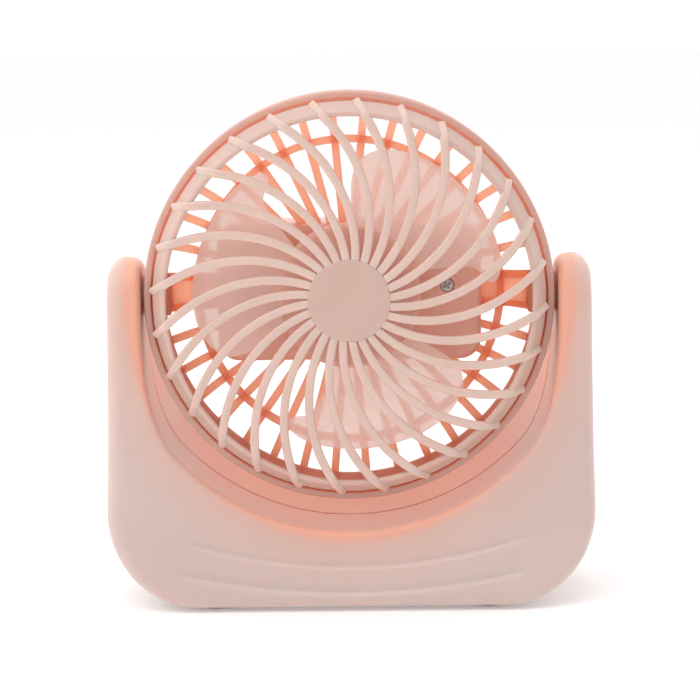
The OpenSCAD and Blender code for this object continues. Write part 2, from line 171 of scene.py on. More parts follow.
# a closed or axis-to-axis profile of (radius, height) spun about the axis
def lathe(name, profile, turns=128, closed=True):
    rings = len(profile)
    vertices = []
    for i in range(turns):
        c, s = math.cos(2 * math.pi * i / turns), math.sin(2 * math.pi * i / turns)
        vertices += [(p[0] * c, p[0] * s, p[1]) for p in profile]
    faces = []
    for i in range(turns):
        a, b = i * rings, (i + 1) % turns * rings
        for k in range(rings if closed else rings - 1):
            n = (k + 1) % rings
            faces.append((a + k, b + k, b + n, a + n))
    return tidyMesh(objectFrom(name, vertices, faces))


# round-cornered rectangle as a loop of points
def softRectangle(width, height, radius, steps=8):
    x, y = width / 2, height / 2
    return softened([(x, -y, radius), (x, y, radius), (-x, y, radius), (-x, -y, radius)], steps=steps)


# a skin over loops that all have the same number of points, closed at both ends
def skinLoops(name, loops):
    count = len(loops[0])
    vertices = [point for loop in loops for point in loop]
    faces = []
    for k in range(len(loops) - 1):
        for i in range(count):
            n = (i + 1) % count
            faces.append((k * count + i, k * count + n, (k + 1) * count + n, (k + 1) * count + i))
    faces.append(tuple(range(count)))
    faces.append(tuple((len(loops) - 1) * count + i for i in range(count)))
    return tidyMesh(objectFrom(name, vertices, faces))


def cutWith(obj, cutters):
    for cutter in cutters:
        change = obj.modifiers.new("cut", "BOOLEAN")
        change.operation = "DIFFERENCE"
        change.solver = "EXACT"
        change.object = cutter
    applied(obj)
    for cutter in cutters:
        bpy.data.objects.remove(cutter)
    return obj


# materials

# patterns are read in metres from Object coordinates, so a scale of 1 / size gives that size
def objectPoint(tree):
    return addNode(tree, "ShaderNodeTexCoord").outputs["Object"]


def startMaterial(name):
    material = bpy.data.materials.new(name)
    material.use_nodes = True
    tree = material.node_tree
    tree.nodes.clear()
    out = addNode(tree, "ShaderNodeOutputMaterial")
    return material, tree, out


# Colour that drifts a little between two tones over a named distance
def driftingColour(tree, point, lightHex, darkHex, size):
    noise = addNode(tree, "ShaderNodeTexNoise", {"Vector": point, "Scale": 1 / size, "Detail": 3.0})
    ramp = addNode(tree, "ShaderNodeValToRGB", {"Fac": noise.outputs["Fac"]})
    ramp.color_ramp.elements[0].position = 0.35
    ramp.color_ramp.elements[0].color = linear(darkHex)
    ramp.color_ramp.elements[1].position = 0.65
    ramp.color_ramp.elements[1].color = linear(lightHex)
    return ramp.outputs["Color"]


# painted glow and shade: a colour laid over another by distance from the tilt axis: rows of (millimetres,
# hex, amount)
def glowPaintedByPlace(tree, point, colour, spread, rows):
    flat = addNode(tree, "ShaderNodeVectorMath", {0: point, 1: spread}, operation="MULTIPLY")
    reach = addNode(tree, "ShaderNodeVectorMath", {0: flat.outputs["Vector"], 1: (0, 0, pivotZ * mm)},
                    operation="DISTANCE")
    first, last = rows[0][0], rows[-1][0]
    share = addNode(tree, "ShaderNodeMapRange", {"Value": reach.outputs["Value"], "From Min": first * mm,
                                                "From Max": last * mm})
    ramp = addNode(tree, "ShaderNodeValToRGB", {"Fac": share.outputs["Result"]})
    stops = ramp.color_ramp.elements
    for i, (distance, hexText, amount) in enumerate(rows):
        place = (distance - first) / (last - first)
        stop = stops[i] if i < 2 else stops.new(place)
        stop.position = place
        stop.color = linear(hexText)[:3] + [amount]
    mixed = addNode(tree, "ShaderNodeMix", {0: ramp.outputs["Alpha"], 6: colour, 7: ramp.outputs["Color"]},
                    data_type="RGBA")
    return mixed.outputs[2]


# Injection-moulded ABS from a spark-eroded mould: satin, a very fine even grain, light soaks a few
# millimetres in, and a thin wall glows warmer than a thick one through its translucency. Some parts also
# get painted glow and shade: a tint laid over by distance from the tilt axis, and a weak painted emission
def makeMouldedAbs(name, look):
    look = {"paintedGlowHex": "#FFFFFF", "paintedGlow": 0.0, **look}
    material, tree, out = startMaterial(name)
    point = objectPoint(tree)
    colour = driftingColour(tree, point, look["light"], look["dark"], look["driftMm"] * mm)
    # painted glow and shade: a tint laid over the colour by distance from the tilt axis
    if "paintedTint" in look:
        colour = glowPaintedByPlace(tree, point, colour, look["paintedTintSpread"], look["paintedTint"])
    grain = addNode(tree, "ShaderNodeTexNoise",
                    {"Vector": point, "Scale": 1 / (look["grainMm"] * mm), "Detail": 2.0})
    bump = addNode(tree, "ShaderNodeBump", {"Height": grain.outputs["Fac"], "Strength": look["grainDepth"],
                                            "Distance": 0.02 * mm})
    sheen = addNode(tree, "ShaderNodeMapRange",
                    {"Value": grain.outputs["Fac"], "To Min": look["rough"] - 0.05,
                     "To Max": look["rough"] + 0.05})
    # the emission is painted glow, standing in for light inside the head; it is no lamp
    body = addNode(tree, "ShaderNodeBsdfPrincipled", {
        "Base Color": colour, "Roughness": sheen.outputs["Result"], "IOR": 1.53,
        "Subsurface Weight": look["soak"], "Subsurface Radius": (1.0, 0.42, 0.26),
        "Subsurface Scale": look["soakMm"] * mm, "Normal": bump.outputs["Normal"],
        "Specular IOR Level": look["shine"], "Emission Color": linear(look["paintedGlowHex"]),
        "Emission Strength": look["paintedGlow"]})
    if look["glow"] > 0:
        through = addNode(tree, "ShaderNodeBsdfTranslucent", {"Color": linear(look["glowHex"])})
        blend = addNode(tree, "ShaderNodeMixShader", {0: look["glow"], 1: body.outputs[0],
                                                      2: through.outputs[0]})
        tree.links.new(blend.outputs[0], out.inputs["Surface"])
    else:
        tree.links.new(body.outputs[0], out.inputs["Surface"])
    return material


# Frosted polypropylene, thin and moulded: milky, what is behind shows through faintly, and a weak emission
# paints in glow where it lies in shade
def makeFrostedPolypropylene(name, look):
    material, tree, out = startMaterial(name)
    point = objectPoint(tree)
    colour = driftingColour(tree, point, look["light"], look["dark"], 9 * mm)
    grain = addNode(tree, "ShaderNodeTexNoise", {"Vector": point, "Scale": 1 / (0.25 * mm), "Detail": 1.0})
    bump = addNode(tree, "ShaderNodeBump", {"Height": grain.outputs["Fac"], "Strength": 0.15,
                                            "Distance": 0.02 * mm})
    body = addNode(tree, "ShaderNodeBsdfPrincipled", {
        "Base Color": colour, "Roughness": 0.38, "IOR": 1.49, "Subsurface Weight": 0.3,
        "Subsurface Radius": (1.0, 0.6, 0.5), "Subsurface Scale": 0.8 * mm,
        "Normal": bump.outputs["Normal"], "Emission Color": linear(look["paintedGlowHex"]),
        "Emission Strength": look["paintedGlow"]})
    through = addNode(tree, "ShaderNodeBsdfTranslucent", {"Color": linear(look["glowHex"])})
    milky = addNode(tree, "ShaderNodeMixShader", {0: look["glow"], 1: body.outputs[0],
                                                  2: through.outputs[0]})
    clear = addNode(tree, "ShaderNodeBsdfTransparent", {"Color": linear(look["clearHex"])})
    blend = addNode(tree, "ShaderNodeMixShader", {0: look["clear"], 1: milky.outputs[0],
                                                  2: clear.outputs[0]})
    tree.links.new(blend.outputs[0], out.inputs["Surface"])
    return material


# A metal part: base tone with fine streaks or grains that follow how it was made
def makeMetal(name, lightHex, darkHex, rough, streakMm, stretch, depth=0.2):
    material, tree, out = startMaterial(name)
    turned = addNode(tree, "ShaderNodeMapping", {"Vector": objectPoint(tree), "Scale": stretch})
    streak = addNode(tree, "ShaderNodeTexNoise",
                     {"Vector": turned.outputs["Vector"], "Scale": 1 / (streakMm * mm), "Detail": 4.0})
    ramp = addNode(tree, "ShaderNodeValToRGB", {"Fac": streak.outputs["Fac"]})
    ramp.color_ramp.elements[0].color = linear(darkHex)
    ramp.color_ramp.elements[1].color = linear(lightHex)
    sheen = addNode(tree, "ShaderNodeMapRange", {"Value": streak.outputs["Fac"],
                                                "To Min": rough - 0.08, "To Max": rough + 0.08})
    bump = addNode(tree, "ShaderNodeBump", {"Height": streak.outputs["Fac"], "Strength": depth,
                                            "Distance": 0.02 * mm})
    body = addNode(tree, "ShaderNodeBsdfPrincipled", {
        "Base Color": ramp.outputs["Color"], "Metallic": 1.0, "Roughness": sheen.outputs["Result"],
        "Normal": bump.outputs["Normal"]})
    tree.links.new(body.outputs[0], out.inputs["Surface"])
    return material


# A plain inner part that isn't metal: two close tones, its own grain and its own gloss
def makeDielectric(name, lightHex, darkHex, rough, ior, grainMm, depth=0.3, kind="ShaderNodeTexNoise"):
    material, tree, out = startMaterial(name)
    scale = 1 / (grainMm * mm)
    pattern = addNode(tree, kind, {"Vector": objectPoint(tree), "Scale": scale})
    value = pattern.outputs["Distance"] if kind == "ShaderNodeTexVoronoi" else pattern.outputs["Fac"]
    ramp = addNode(tree, "ShaderNodeValToRGB", {"Fac": value})
    ramp.color_ramp.elements[0].color = linear(darkHex)
    ramp.color_ramp.elements[1].color = linear(lightHex)
    bump = addNode(tree, "ShaderNodeBump", {"Height": value, "Strength": depth, "Distance": 0.03 * mm})
    body = addNode(tree, "ShaderNodeBsdfPrincipled", {
        "Base Color": ramp.outputs["Color"], "Roughness": rough, "IOR": ior,
        "Normal": bump.outputs["Normal"]})
    tree.links.new(body.outputs[0], out.inputs["Surface"])
    return material


shellAbs = {"light": "#DBC6C0", "dark": "#D7C1BA", "glow": 0.0, "soak": 0.9,
            "soakMm": 1.6, "rough": 0.42, "shine": 0.4, "grainMm": 0.22, "grainDepth": 0.25, "driftMm": 40,
            # painted shade and glow: the stand's bowl, shaded by the head, and its edge are painted the most
            # salmon, fading out over the face
            "paintedTintSpread": (1.1, 1, 1),
            "paintedTint": [(60, "#EDB39B", 0.95), (69.0, "#EFB49B", 0.95), (70.6, "#F3A88D", 0.65),
                     (72.5, "#E6B6A5", 0.5), (88, "#E0BFB3", 0.0)]}
grilleAbs = {"light": "#E0C6BA", "dark": "#DCC1B5", "glow": 0.0, "soak": 0.7,
             "soakMm": 1.2, "rough": 0.40, "shine": 0.45, "grainMm": 0.2, "grainDepth": 0.2, "driftMm": 18}
drumAbs = {"light": "#DEC8BE", "dark": "#DAC3B9", "glowHex": "#FFDFD0", "glow": 0.4, "soak": 0.8,
           "soakMm": 1.8, "rough": 0.40, "shine": 0.45, "grainMm": 0.2, "grainDepth": 0.2, "driftMm": 18,
           # painted glow: the inner wall beside the grille is painted a thin bright orange line, for light
           # shining through the plastic into the shaded groove
           "paintedTintSpread": (1, 0, 1),
           "paintedTint": [(55, "#F5B79E", 0.3), (55.7, "#FF8450", 1.0), (56.05, "#FF8450", 1.0),
                    (56.5, "#F3AE94", 0.0)]}
# painted glow: the slats, ring, webs and bosses are the same moulding as the drum, given a brighter, more
# salmon tone for light shining through them and bouncing between them
rearGlowPaintedAbs = {"light": "#F8D0BC", "dark": "#F5C8B2", "glowHex": "#FFDFCC", "glow": 0.85, "soak": 0.5,
           "soakMm": 2.0, "rough": 0.42, "shine": 0.4, "grainMm": 0.22, "grainDepth": 0.2, "driftMm": 25}
# painted glow: the box gets a lighter tone than the shell and a weak salmon emission, for light reaching it
# deep inside the head
boxGlowPaintedAbs = {"light": "#FDD5C6", "dark": "#FACDBB", "glowHex": "#FFD3BF", "glow": 0.25,
            "paintedGlowHex": "#FF9876", "paintedGlow": 0.05, "soak": 0.5,
            "soakMm": 2.5, "rough": 0.36, "shine": 0.5, "grainMm": 0.22, "grainDepth": 0.2, "driftMm": 25}
shellPink = makeMouldedAbs("moulded ABS, pale pink", shellAbs)
grillePink = makeMouldedAbs("moulded ABS, pale pink ribs", grilleAbs)
# painted shade: the cap and bezel are the same moulding as the ribs, given a darker tone so that they sit in
# shade beside the lighter ribs
grilleShadedPink = makeMouldedAbs("moulded ABS, grille parts with painted shade", {**grilleAbs, "light": "#D6B7AB",
                                                                     "dark": "#D2B2A6"})
drumPink = makeMouldedAbs("moulded ABS, drum wall", drumAbs)
rearGlowPaintedPink = makeMouldedAbs("moulded ABS, thin, glow painted in", rearGlowPaintedAbs)
boxGlowPaintedPink = makeMouldedAbs("moulded ABS, box", boxGlowPaintedAbs)
# painted glow: the blades and hub get a weak emission, pale on the blades and salmon on the hub, for light
# that the grille and drum shade off them
frosted = makeFrostedPolypropylene("frosted polypropylene", {
    "light": "#F3ECE8", "dark": "#F0E7E2", "glowHex": "#FBF6F3", "glow": 0.4,
    "clearHex": "#FDF6F3", "clear": 0.44, "paintedGlowHex": "#FFE4D6", "paintedGlow": 0.15})
frostedHub = makeFrostedPolypropylene("frosted polypropylene hub", {
    "light": "#FBE0D6", "dark": "#F8D9CD", "glowHex": "#FFDCCC", "glow": 0.2,
    "clearHex": "#FBD9CC", "clear": 0.14, "paintedGlowHex": "#FFAA95", "paintedGlow": 0.07})
buttonPp = makeFrostedPolypropylene("frosted polypropylene button", {
    "light": "#F1E4DE", "dark": "#EBD9D0", "glowHex": "#F7D8CB", "glow": 0.2,
    "clearHex": "#FBEDE8", "clear": 0.05, "paintedGlowHex": "#FFFFFF", "paintedGlow": 0.0})
# zinc plate: pale, a little cloudy, with turned streaks
zincPlate = makeMetal("zinc-plated steel", "#D8DADB", "#8D9092", 0.34, 0.4, (1, 1, 1))
# drawn nickel-plated steel: smooth with long faint draw lines
drawnSteel = makeMetal("drawn nickel-plated steel", "#DEDDD9", "#A9A8A4", 0.26, 0.5, (1, 12, 12), 0.1)
groundSteel = makeMetal("ground steel shaft", "#E4E4E2", "#B4B4B2", 0.18, 0.2, (1, 8, 1), 0.1)
# sintered bronze: dull gold with open pores
sinteredBronze = makeMetal("sintered bronze", "#B98A4E", "#7C5426", 0.5, 0.15, (1, 1, 1), 0.6)
# enamelled copper: bright orange-brown turns 0.2 mm apart, drawn a little coarser to show
enamelledCopper = makeMetal("enamelled copper winding", "#C9743B", "#7A3A18", 0.3, 0.35, (1, 1, 0.1), 0.5)
ferrite = makeDielectric("sintered ferrite", "#3A3A3D", "#222225", 0.6, 1.6, 0.3)
nylon = makeDielectric("natural nylon", "#EFEAE0", "#E2DBCD", 0.5, 1.53, 0.5, 0.15)
siliconeRubber = makeDielectric("moulded rubber", "#BDB0AA", "#A89B95", 0.85, 1.5, 0.35, 0.5)
shrinkSleeve = makeDielectric("PVC shrink sleeve", "#6FA3C9", "#5D92BA", 0.22, 1.54, 6, 0.1)
redInsulation = makeDielectric("red PVC insulation", "#C2332B", "#A82A23", 0.4, 1.53, 1.5, 0.1)
blackInsulation = makeDielectric("black PVC insulation", "#2B2B2D", "#1C1C1E", 0.42, 1.53, 1.5, 0.1)
solderMask = makeDielectric("glass laminate with green lacquer", "#2E8A56", "#1E6B40", 0.3, 1.5, 0.8, 0.2,
                            "ShaderNodeTexVoronoi")
blackNylon = makeDielectric("black glass-filled nylon", "#2A2A2C", "#1A1A1C", 0.55, 1.53, 0.3)
castResin = makeDielectric("clear cast resin", "#F4F8FB", "#E3ECF2", 0.08, 1.52, 1.2, 0.02)
print("materials ready")


# stand

stand = {
    "wall": 2.0, "earDepth": 28.0, "bottomCorner": 26.0, "edge": 4.2, "bowlEdge": 2.4,
    "flareBelow": 26.0, "bellyIn": 1.0, "bellyBelow": 20.0, "bowlGap": 10.0, "rimGap": 1.0,
    "sideFlare": 1.1, "crownBend": 0.09, "crownReach": 6.0,
    "creaseRound": 9.0, "topSlope": 5.0, "earPeak": 64.0, "pinHole": 4.06, "earBoss": 3.0, "cell": 0.62,
    "groove": {"depth": 0.8, "slope": 2.8, "ledge": 0.9, "fadeFrom": 44.0, "fadeTo": 52.0,
               "upper": (12.3, 170.0), "lower": (5.5, 235.0)},
}


# the larger of two distances, with the crease between them rounded to radius r
def softMax(a, b, r):
    return np.minimum(-r, np.maximum(a, b)) + np.hypot(np.maximum(a + r, 0), np.maximum(b + r, 0))


# the two views meet at the ear tops, and their shared rounding takes this much off the height
topAllowance = stand["edge"] * (1 - math.sqrt(0.5))
standLow, standHigh = frontBox[0][2], frontBox[1][2] + topAllowance
standHalf = frontBox[1][0]
earIn, earOut = rimRadius + stand["rimGap"], standHalf - stand["sideFlare"]


# outline from the front: round bottom corners, sides that lean in, outer ear corners that ease over
def standFront(x, z):
    lean = stand["sideFlare"] / (standHigh - standLow - stand["bottomCorner"])
    side = (np.abs(x) - standHalf + lean * np.maximum(z - standLow - stand["bottomCorner"], 0)) * 0.9999
    bottom = softMax(side, standLow - z, stand["bottomCorner"])
    aside = np.clip(np.abs(x) - stand["earPeak"], -stand["crownReach"], stand["crownReach"])
    crown = z - standHigh + stand["crownBend"] * aside ** 2
    return softMax(bottom, crown, stand["topSlope"])


def standSide(y, z):
    ear = stand["earDepth"] / 2
    foot = -frontBox[0][1]
    low, high = standLow, standHigh
    bendAt = pivotZ - stand["flareBelow"]
    bend = ((foot - ear) ** 2 + (bendAt - low) ** 2) / (2 * (foot - ear))
    hollow = bend - np.hypot(y + ear + bend, z - bendAt)
    front = np.where(z < bendAt, hollow, -ear - y)
    belly = np.array([backBox[1][1] - stand["bellyIn"], pivotZ - stand["bellyBelow"]])
    foot2 = np.array([backBox[1][1], low])
    crest = np.array([0, high - ear])
    reach = np.hypot(*(belly - crest))
    over = math.atan2(belly[1] - crest[1], belly[0]) + math.acos(ear / reach)
    shoulder = crest + ear * np.array([math.cos(over), math.sin(over)])

    def beyond(a, b):
        along = (b - a) / np.hypot(*(b - a))
        return (y - a[0]) * along[1] - (z - a[1]) * along[0]

    back = softMax(beyond(foot2, belly), beyond(belly, shoulder), 12.0)
    roundTop = np.where((z > crest[1]) & (y < shoulder[0]), np.hypot(y, z - crest[1]) - ear, -ear)
    return np.maximum(np.maximum(front, back), roundTop)


def standOutside(x, y, z):
    body = softMax(standFront(x, z), standSide(y, z), stand["edge"])
    ball = np.sqrt(x * x + y * y + (z - pivotZ) ** 2) - rimRadius - stand["bowlGap"]
    cavity = softMax(ball, np.abs(x) - earIn, stand["creaseRound"])
    return softMax(body, -cavity, stand["bowlEdge"])


# the two shallow lines pressed into the front, fading out before the corners: each slopes
# in slowly from above and steps out again at a narrow ledge
def pressedLines(x, y, z):
    g = stand["groove"]
    fade = np.clip((g["fadeTo"] - np.abs(x)) / (g["fadeTo"] - g["fadeFrom"]), 0, 1)
    depth = 0
    for lowest, radius in (g["upper"], g["lower"]):
        above = radius - np.hypot(x, z - lowest - radius)
        slope = np.clip(1 - above / g["slope"], 0, 1) ** 1.6
        depth = depth + g["depth"] * np.where(above > 0, slope, np.clip(1 + above / g["ledge"], 0, 1))
    return np.where(y < 0, depth * fade, 0)


def rod(a, b, r):
    return np.hypot(a, b) - r


screwSpots = [((earIn + earOut) / 2 - 2, pivotZ - 36.4), (standHalf - 22.5, 12.0)]
footBox = mmBox("rubber_feet")
footSpot = (footBox[1][0] - 5, footBox[0][1] + 5)
seamY = frontBox[1][1]


def frontShell(x, y, z):
    outside = standOutside(x, y, z)
    skin = softMax(outside + pressedLines(x, y, z), -(outside + stand["wall"]), 0.2)
    ax = np.abs(x)
    bearing = np.maximum(rod(y, z - pivotZ, 6.5), np.maximum(earIn + 1 - ax, ax - earIn - stand["earBoss"]))
    shell = np.minimum(skin, bearing)
    for sx, sz in screwSpots:
        shell = np.minimum(shell, np.maximum(rod(ax - sx, z - sz, 3.0), outside + 1.0))
    shell = np.maximum(shell, -np.maximum(rod(y, z - pivotZ, stand["pinHole"]), ax - 64))
    for sx, sz in screwSpots:
        shell = np.maximum(shell, -np.maximum(rod(ax - sx, z - sz, 1.25), 3 - y))
    pocket = np.maximum(rod(ax - footSpot[0], np.abs(y) + footSpot[1], 5.1), z - 2.0)
    return softMax(np.maximum(shell, -pocket), y - seamY + 0.06, 0.25)


def backShell(x, y, z):
    outside = standOutside(x, y, z)
    skin = softMax(outside, -(outside + stand["wall"]), 0.2)
    ax = np.abs(x)
    shell = skin
    for sx, sz in screwSpots:
        shell = np.minimum(shell, np.maximum(rod(ax - sx, z - sz, 4.0), outside + 1.0))
    for sx, sz in screwSpots:
        shell = np.maximum(shell, -rod(ax - sx, z - sz, 1.4))
        shell = softMax(shell, -np.maximum(rod(ax - sx, z - sz, 3.0), seamY + 2 - y), 0.3)
    pocket = np.maximum(rod(ax - footSpot[0], np.abs(y) + footSpot[1], 5.1), z - 2.0)
    return softMax(np.maximum(shell, -pocket), seamY + 0.06 - y, 0.25)


# the skin of a shape given as a distance field: one point in each cell that the surface
# crosses, pulled onto the surface, and a quad around each crossed edge
def skinOf(name, field, low, high, cell):
    axes = [np.arange(low[i] - 2 * cell, high[i] + 3 * cell, cell) for i in range(3)]
    grid = np.meshgrid(*axes, indexing="ij")
    value = field(*grid)
    inside = value < 0
    shape = [n - 1 for n in value.shape]
    corners = [(i, j, k) for i in (0, 1) for j in (0, 1) for k in (0, 1)]

    def at(array, corner):
        i, j, k = corner
        return array[i:i + shape[0], j:j + shape[1], k:k + shape[2]]

    total = sum(at(inside, c).astype(np.int8) for c in corners)
    active = (total > 0) & (total < 8)
    index = np.full(shape, -1, np.int64)
    index[active] = np.arange(active.sum())
    summed = np.zeros((active.sum(), 3))
    hits = np.zeros(active.sum())
    values = {c: at(value, c)[active] for c in corners}
    for a in corners:
        for axis in range(3):
            if a[axis]:
                continue
            b = tuple(1 if n == axis else a[n] for n in range(3))
            va, vb = values[a], values[b]
            crossed = (va < 0) != (vb < 0)
            share = np.where(crossed, va / np.where(crossed, va - vb, 1), 0)
            point = np.array(a, float)[None, :].repeat(len(va), 0)
            point[:, axis] += share
            summed[crossed] += point[crossed]
            hits += crossed
    cells = np.argwhere(active)
    origin = np.array([axis[0] for axis in axes])
    points = origin + (cells + summed / hits[:, None]) * cell
    small = 0.02
    for _ in range(4):
        now = field(*points.T)
        slope = np.stack([(field(*(points + nudge).T) - field(*(points - nudge).T)) / (2 * small)
                          for nudge in small * np.eye(3)], 1)
        step = slope * (now / np.maximum((slope ** 2).sum(1), 0.2))[:, None]
        points -= np.clip(step, -cell * 0.5, cell * 0.5)
    faces = []
    for axis in range(3):
        u, v = (axis + 1) % 3, (axis + 2) % 3
        here = [slice(1, n) for n in shape]
        here[axis] = slice(0, shape[axis])
        there = list(here)
        there[axis] = slice(1, shape[axis] + 1)
        first, second = inside[tuple(here)], inside[tuple(there)]
        where = np.argwhere(first != second)
        where[:, u] += 1
        where[:, v] += 1
        solidFirst = first[first != second]
        around = []
        for du, dv in ((0, 0), (-1, 0), (-1, -1), (0, -1)):
            spot = where.copy()
            spot[:, u] += du
            spot[:, v] += dv
            around.append(index[spot[:, 0], spot[:, 1], spot[:, 2]])
        quad = np.stack(around, 1)
        quad[~solidFirst] = quad[~solidFirst][:, ::-1]
        faces.append(quad)
    faces = np.concatenate(faces)
    return objectFrom(name, points, faces.tolist())


# fewer faces where the surface is flat
def thinned(obj, most=170000):
    mesh = obj.data
    triangles = len(mesh.polygons) * 2
    if triangles > most:
        change = obj.modifiers.new("thin", "DECIMATE")
        change.ratio = most / triangles
        applied(obj)
    return obj


sideRoom = 0.5
frontObject = thinned(skinOf("stand_front", frontShell, [v - sideRoom for v in frontBox[0]],
                             [v + sideRoom for v in frontBox[1]], stand["cell"]))
finishPiece(frontObject, shellPink, "stand", standPlace, ["stand_front_shell"], 50)
backObject = thinned(skinOf("stand_back", backShell, [v - sideRoom for v in backBox[0]],
                            [v + sideRoom for v in backBox[1]], stand["cell"]))
finishPiece(backObject, shellPink, "stand", standPlace, ["stand_back_shell"], 50)
print("stand shells:", len(frontObject.data.polygons), len(backObject.data.polygons), "faces")


# node trees for what repeats

# a new tree with named inputs and one result
def startTree(name, sockets):
    tree = bpy.data.node_groups.new(name, "GeometryNodeTree")
    for label, kind in sockets:
        tree.interface.new_socket(label, in_out="INPUT", socket_type="NodeSocket" + kind)
    tree.interface.new_socket("Result", in_out="OUTPUT", socket_type="NodeSocketGeometry")
    return tree, addNode(tree, "NodeGroupInput").outputs


# every tree ends in real geometry with its material
def endTree(tree, copies, material):
    real = addNode(tree, "GeometryNodeRealizeInstances", {"Geometry": copies.outputs[0]})
    painted = addNode(tree, "GeometryNodeSetMaterial", {"Geometry": real.outputs[0], "Material": material})
    addNode(tree, "NodeGroupOutput", {"Result": painted.outputs[0]})
    return tree


barSockets = [("Path", "Geometry"), ("Count", "Int"), ("First Angle", "Float"), ("Width", "Float"),
              ("Thickness", "Float"), ("Edge Radius", "Float"), ("Material", "Material")]


# a bar with rounded edges along the given path, narrower at its start where a share is given
def sweptBar(tree, given, startShare=None):
    path = addNode(tree, "GeometryNodeMeshToCurve", {"Mesh": given["Path"]})
    line = addNode(tree, "GeometryNodeSetCurveNormal", {"Curve": path.outputs[0]}, mode="Z_UP")
    if startShare is not None:
        along = addNode(tree, "GeometryNodeSplineParameter")
        share = addNode(tree, "ShaderNodeMapRange", {"Value": along.outputs["Factor"], "To Min": startShare,
                                                    "To Max": 1.0})
        line = addNode(tree, "GeometryNodeSetCurveRadius", {"Curve": line.outputs[0],
                                                            "Radius": share.outputs["Result"]})
    section = addNode(tree, "GeometryNodeCurvePrimitiveQuadrilateral",
                      {"Width": given["Width"], "Height": given["Thickness"]})
    soft = addNode(tree, "GeometryNodeFilletCurve", {"Curve": section.outputs[0], "Count": 3,
                                                     "Radius": given["Edge Radius"]}, mode="POLY")
    return addNode(tree, "GeometryNodeCurveToMesh",
                   {"Curve": line.outputs[0], "Profile Curve": soft.outputs[0], "Fill Caps": True})


# a point for each bar, and the angle of each: even steps of a full turn from the first
def evenTurns(tree, given):
    spots = addNode(tree, "GeometryNodePoints", {"Count": given["Count"]})
    number = addNode(tree, "GeometryNodeInputIndex")
    pitch = addNode(tree, "ShaderNodeMath", {0: 2 * math.pi, 1: given["Count"]}, operation="DIVIDE")
    angle = addNode(tree, "ShaderNodeMath", {0: number.outputs[0], 1: pitch.outputs[0],
                                             2: given["First Angle"]}, operation="MULTIPLY_ADD")
    return spots, angle


# a bar set round the fan's axis a number of times
def ringOfBarsTree():
    tree, given = startTree("ring of bars", barSockets + [("Inner Share", "Float")])
    bar = sweptBar(tree, given, given["Inner Share"])
    spots, angle = evenTurns(tree, given)
    turn = addNode(tree, "ShaderNodeCombineXYZ", {"Z": angle.outputs[0]})
    copies = addNode(tree, "GeometryNodeInstanceOnPoints",
                     {"Points": spots.outputs[0], "Instance": bar.outputs[0], "Rotation": turn.outputs[0]})
    return endTree(tree, copies, given["Material"])


# straight bars round the axis, from a ring in to the sides of a rectangular box
def barsToBoxTree():
    tree, given = startTree("bars to the box", barSockets + [
        ("Outer Radius", "Float"), ("Half Width", "Float"), ("Half Height", "Float")])
    bar = sweptBar(tree, given)
    spots, angle = evenTurns(tree, given)
    side = addNode(tree, "ShaderNodeMath", {0: angle.outputs[0]}, operation="COSINE")
    rise = addNode(tree, "ShaderNodeMath", {0: angle.outputs[0]}, operation="SINE")
    reach = []
    for share, half in ((side, "Half Width"), (rise, "Half Height")):
        size = addNode(tree, "ShaderNodeMath", {0: share.outputs[0]}, operation="ABSOLUTE")
        reach.append(addNode(tree, "ShaderNodeMath", {0: given[half], 1: size.outputs[0]},
                             operation="DIVIDE"))
    start = addNode(tree, "ShaderNodeMath", {0: reach[0].outputs[0], 1: reach[1].outputs[0]},
                    operation="MINIMUM")
    length = addNode(tree, "ShaderNodeMath", {0: given["Outer Radius"], 1: start.outputs[0]},
                     operation="SUBTRACT")
    turn = addNode(tree, "ShaderNodeCombineXYZ", {"Z": angle.outputs[0]})
    size = addNode(tree, "ShaderNodeCombineXYZ", {"X": length.outputs[0], "Y": 1.0, "Z": 1.0})
    place = addNode(tree, "ShaderNodeCombineXYZ")
    for axis, share in (("X", side), ("Y", rise)):
        out = addNode(tree, "ShaderNodeMath", {0: start.outputs[0], 1: share.outputs[0]},
                      operation="MULTIPLY")
        tree.links.new(out.outputs[0], place.inputs[axis])
    moved = addNode(tree, "GeometryNodeSetPosition",
                    {"Geometry": spots.outputs[0], "Position": place.outputs[0]})
    copies = addNode(tree, "GeometryNodeInstanceOnPoints",
                     {"Points": moved.outputs[0], "Instance": bar.outputs[0], "Rotation": turn.outputs[0],
                      "Scale": size.outputs[0]})
    return endTree(tree, copies, given["Material"])


# copies of one object at the points of a mesh
def copiesTree():
    tree, given = startTree("copies at points", [
        ("Spots", "Geometry"), ("Piece", "Object"), ("Turn", "Vector"), ("Material", "Material")])
    spots = addNode(tree, "GeometryNodeMeshToPoints", {"Mesh": given["Spots"]})
    piece = addNode(tree, "GeometryNodeObjectInfo", {"Object": given["Piece"]})
    copies = addNode(tree, "GeometryNodeInstanceOnPoints",
                     {"Points": spots.outputs[0], "Instance": piece.outputs["Geometry"],
                      "Rotation": given["Turn"]})
    return endTree(tree, copies, given["Material"])


# runs a tree on a mesh of points and edges and keeps the result as a plain mesh
def grown(name, tree, points, edges, inputs):
    mesh = bpy.data.meshes.new(name)
    mesh.from_pydata([tuple(p) for p in points], edges, [])
    obj = bpy.data.objects.new(name, mesh)
    bpy.context.scene.collection.objects.link(obj)
    change = obj.modifiers.new("grow", "NODES")
    change.node_group = tree
    for item in tree.interface.items_tree:
        if item.in_out == "INPUT" and item.name in inputs:
            change[item.identifier] = inputs[item.name]
    applied(obj)
    return tidyMesh(obj)


def chain(points):
    return [(i, i + 1) for i in range(len(points) - 1)]


# a small piece set at several spots as one finished mesh
def setAt(name, piece, spots, turn, look, body, place, node, sharp=40):
    obj = grown(name, copiesAtPoints, spots, [], {"Piece": piece, "Turn": turn, "Material": look})
    bpy.data.objects.remove(piece)
    return finishPiece(obj, look, body, place, [node], sharp)


